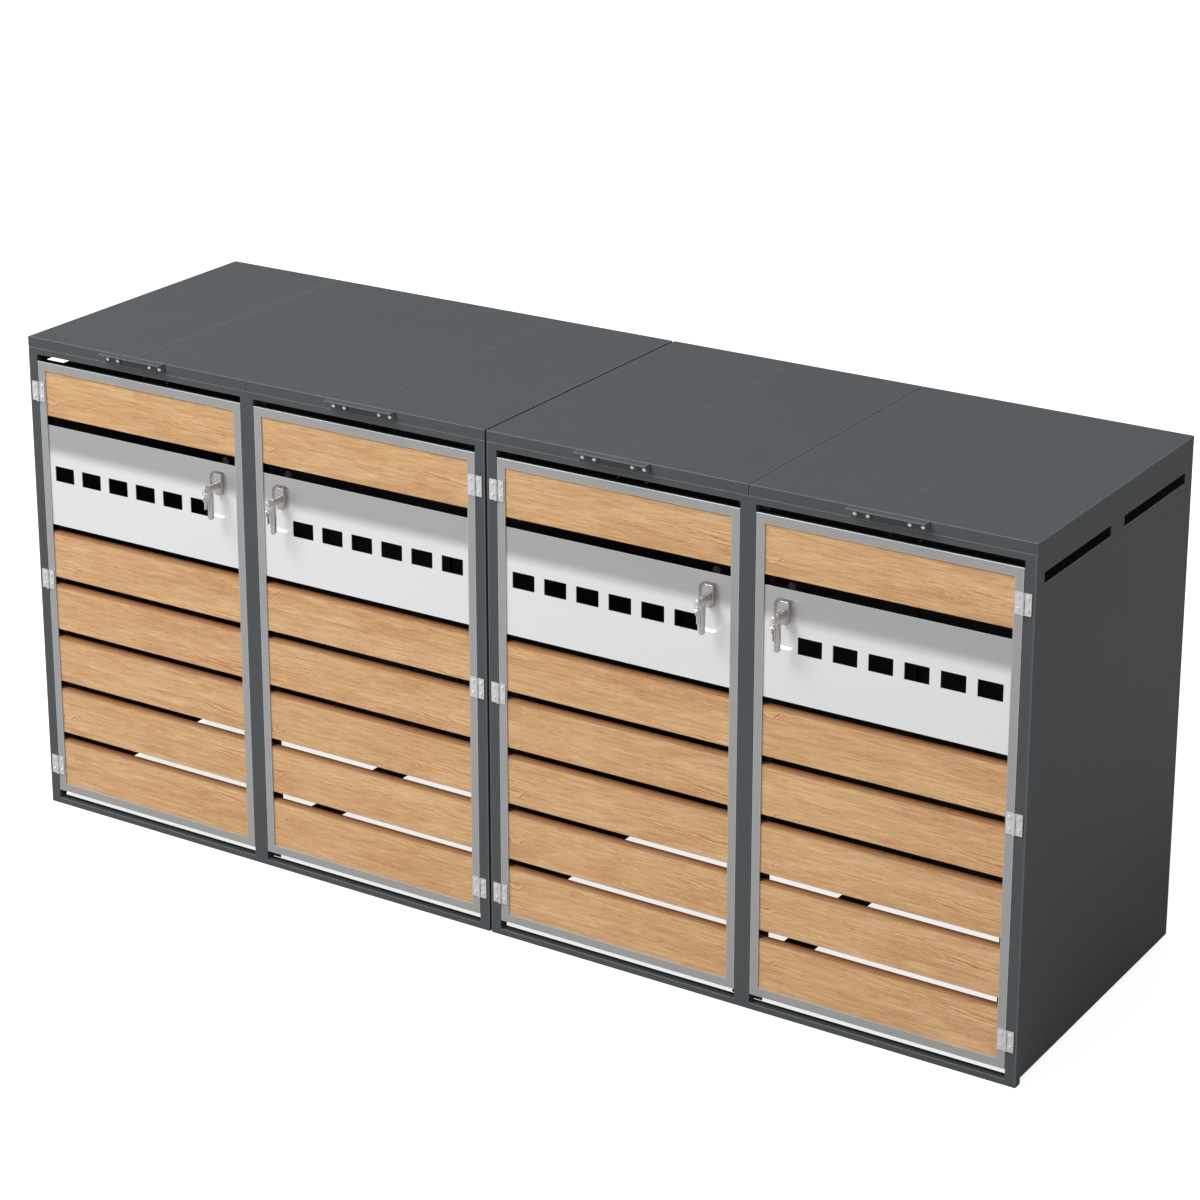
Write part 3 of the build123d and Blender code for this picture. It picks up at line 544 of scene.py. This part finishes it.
def door_fixings(n):
    """Inner side of a door: screws of the boards, rivets of the panel, bearing nuts and inner welds."""
    body = "door_%d" % n
    sub_low, sub_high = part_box(body + "_sub_frame")
    back = sub_high.y
    columns = (sub_low.x + BATTEN, sub_high.x - BATTEN)
    shape = bmesh.new()
    for low, high in levels(body + "_boards", Z):
        for x in columns:
            for share in (SCREW_SHARE, 1 - SCREW_SHARE):
                screw_head(shape, (x, back, low + (high - low) * share), (0, 1, 0), height=LOW_HEAD)
    piece(body + "_board_screws", shape, "stainless", body)

    panel_low, panel_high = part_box(body + "_panel")
    shape = bmesh.new()
    for x in columns:
        for z in (panel_low.z + 25 * MM, middle((panel_low.z, panel_high.z)), panel_high.z - 25 * MM):
            rivet_head(shape, (x, back, z), (0, 1, 0))
    piece(body + "_panel_rivets", shape, "stainless", body)

    lock_low, lock_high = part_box(body + "_lock_body")
    x = middle((lock_low.x, lock_high.x))
    z = middle((lock_low.z, lock_high.z))
    y = lock_high.y + 2.2 * MM
    shape = bmesh.new()
    hex_nut(shape, (x, y, z), (0, 1, 0), 24 * MM, 5 * MM, 6.2 * MM)
    hex_nut(shape, (x, y + 5 * MM + NUT_GAP, z), (0, 1, 0), 17 * MM, 3.5 * MM, 6.2 * MM)
    piece(body + "_bearing_nuts", shape, "stainless", body)

    shape = bmesh.new()
    wall = 2.5 * MM
    level = back - 2.4 * MM
    for x, out in ((sub_low.x + wall, 1), (sub_high.x - wall, -1)):
        for z in (sub_low.z + wall, sub_high.z - wall):
            weld_bead(shape, (x, back - 15 * MM, z), (x, back - 3 * MM, z), 1.6 * MM)
            weld_bead(shape, (x + out * 1.5 * MM, level, z), (x + out * 27 * MM, level, z), 1.3 * MM)
    piece(body + "_sub_frame_welds", shape, "black_coat", body, 60)


def lid_fixings(n):
    """Under a lid: cap nuts of the grip's screws, ribs, and the screws of the hinge leaves behind."""
    body = "lid_%d" % n
    low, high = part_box(body + "_halves")
    seam = middle((low.x, high.x))
    lip_back = low.y + 2 * MM
    screw_z = high.z - 14 * MM
    shape = bmesh.new()
    for offset in GRIP_SCREWS:
        for side in (-1, 1):
            cap_nut(shape, (seam + side * offset, lip_back, screw_z), (0, 1, 0), 8 * MM, 6.5 * MM)
    piece(body + "_cap_nuts", shape, "stainless", body)

    shape = bmesh.new()
    inset = 60 * MM
    for x in (middle((low.x, seam)), middle((seam, high.x))):
        folded_rib(shape, x, low.y + inset, high.y - inset, high.z - 2 * MM, 38 * MM, 9 * MM, 1.2 * MM)
    piece(body + "_ribs", shape, "body_coat", body, 20)

    leaf = rear + 2 * MM
    for name, z, owner in ((body + "_hinge_screws", high.z - 13 * MM, body),
                           (body + "_wall_hinge_screws", low.z - 13.5 * MM, "cabinet")):
        shape = bmesh.new()
        for hinge in (-LID_HINGES, LID_HINGES):
            for offset in (-LID_HINGE_SCREW, 0, LID_HINGE_SCREW):
                screw_head(shape, (seam + hinge + offset, leaf, z), (0, 1, 0), 3.6 * MM, 1.5 * MM)
        piece(name, shape, "stainless", owner)


def module_fixings(side):
    """Rivets of the back wall, foot nuts, seam strips, welds and door pads of one module."""
    name = side + "_module"
    low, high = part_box(name + "_back")
    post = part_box(name + "_front_frame")
    centre = middle((low.x, high.x))
    shape = bmesh.new()
    for k in range(BACK_RIVET_ROWS):
        z = low.z + 30 * MM + (high.z - low.z - 90 * MM) * k / (BACK_RIVET_ROWS - 1)
        for x in (low.x + 14 * MM, centre - 6 * MM, centre + 6 * MM, high.x - 14 * MM):
            rivet_head(shape, (x, rear, z), (0, 1, 0))
    for k in range(1, BACK_RIVET_COLUMNS):
        for start in (low.x, centre):
            x = start + (centre - low.x) * k / BACK_RIVET_COLUMNS
            rivet_head(shape, (x, rear, low.z + 12 * MM), (0, 1, 0))
    piece(name + "_back_rivets", shape, "body_coat", "cabinet")

    shape = bmesh.new()
    for x in (low.x + FOOT_INSET, centre, high.x - FOOT_INSET):
        hex_nut(shape, (x, rear - 24 * MM, 8.5 * MM), (0, 0, 1), 17 * MM, 5 * MM, 5.05 * MM)
    piece(name + "_foot_nuts", shape, "stainless", "cabinet")

    # a strip over each pair of turned-in edges closes the seam of a side wall from the inside
    shape = bmesh.new()
    for wall, inward in (("_wall_left", 1), ("_wall_right", -1)):
        near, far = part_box(name + wall)
        edge_x = far.x if inward > 0 else near.x
        size = (1.0 * MM, 4.0 * MM, far.z - near.z - 32 * MM)
        place = (edge_x + inward * size[X] / 2, middle((near.y, far.y)), near.z + 2 * MM + size[Z] / 2)
        stretch = Matrix.Diagonal((*size, 1.0))
        bmesh.ops.create_cube(shape, size=1.0, matrix=Matrix.Translation(place) @ stretch)
    piece(name + "_seam_strips", shape, "body_coat", "cabinet")

    # beads on the hidden side of the front frame, where the posts meet the bottom and the top rail
    shape = bmesh.new()
    for z in (RAIL_TOP, post[1].z - TOP_RAIL_H):
        for x in (post[0].x + TUBE, centre - CENTRE_HALF, centre + CENTRE_HALF, post[1].x - TUBE):
            weld_bead(shape, (x, front + 4 * MM, z), (x, front + 21 * MM, z), 1.8 * MM)
    piece(name + "_frame_welds", shape, "body_coat", "cabinet", 60)

    # thin pads on the stop plate, which the doors close against
    shape = bmesh.new()
    plate = post[1].y - 2.5 * MM
    for x in (centre - 26 * MM, centre + 26 * MM):
        for z in PAD_HEIGHTS:
            turned(shape, (x, plate, z), (0, -1, 0),
                   ((4.4 * MM, 0), (4.4 * MM, 0.7 * MM), (3.9 * MM, 1.0 * MM), (2.2 * MM, 1.1 * MM)))
    piece(name + "_door_pads", shape, "rubber", "cabinet")


def coupler_bolts():
    """Cap nuts of the couplers, inside both modules."""
    couplers_y = levels("module_couplers", Y)
    couplers_z = levels("module_couplers", Z)
    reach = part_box("module_couplers")[1].x + 2 * MM
    shape = bmesh.new()
    for y in couplers_y:
        for z in couplers_z:
            for side in (-1, 1):
                cap_nut(shape, (side * reach, middle(y), middle(z)), (side, 0, 0), 13 * MM, 8 * MM)
    piece("coupler_cap_nuts", shape, "stainless", "cabinet")


for n in DOORS:
    door_fixings(n)
    lid_fixings(n)
for side in ("left", "right"):
    module_fixings(side)
coupler_bolts()


# ---- stage, light and camera ----
def flat_disc(name, radius, material):
    """Round floor at Z = 0, which isn't part of the object."""
    mesh = bpy.data.meshes.new(name)
    shape = bmesh.new()
    bmesh.ops.create_circle(shape, cap_ends=True, segments=96, radius=radius)
    shape.to_mesh(mesh)
    shape.free()
    disc = bpy.data.objects.new(name, mesh)
    bpy.context.scene.collection.objects.link(disc)
    mesh.materials.append(material)


def soft_light(name, place, target, size, power):
    """Square area light at place, facing target."""
    data = bpy.data.lights.new(name, "AREA")
    data.size = size
    data.energy = power
    light = bpy.data.objects.new(name, data)
    light.location = place
    light.rotation_euler = (Vector(target) - Vector(place)).to_track_quat("-Z", "Y").to_euler()
    bpy.context.scene.collection.objects.link(light)


def plain_world(ambient, backdrop):
    """Even white surroundings: one brightness for light, another for what the camera sees."""
    world = bpy.data.worlds.new("studio")
    bpy.context.scene.world = world
    world.use_nodes = True
    tree = world.node_tree
    ray = Value(tree, tree.nodes.new("ShaderNodeLightPath").outputs["Is Camera Ray"])
    background = tree.nodes["Background"]
    background.inputs["Color"].default_value = (1, 1, 1, 1)
    feed(tree, background.inputs["Strength"], ray * (backdrop - ambient) + ambient)


flat_disc("floor", FLOOR_RADIUS, stage_floor("pale_floor"))
plain_world(AMBIENT, BACKDROP)
soft_light("key", KEY_PLACE, KEY_TARGET, KEY_SIZE, KEY_POWER)

camera_data = bpy.data.cameras.new("camera")
camera_data.lens = CAMERA_LENS
camera_data.shift_y = CAMERA_SHIFT_Y
camera_data.clip_end = CAMERA_FAR
camera = bpy.data.objects.new("camera", camera_data)
camera.location = CAMERA_PLACE
camera.rotation_euler = (math.radians(90 - CAMERA_TILT), 0, math.radians(CAMERA_TURN))
bpy.context.scene.collection.objects.link(camera)
bpy.context.scene.camera = camera
bpy.context.scene.view_settings.view_transform = "Standard"
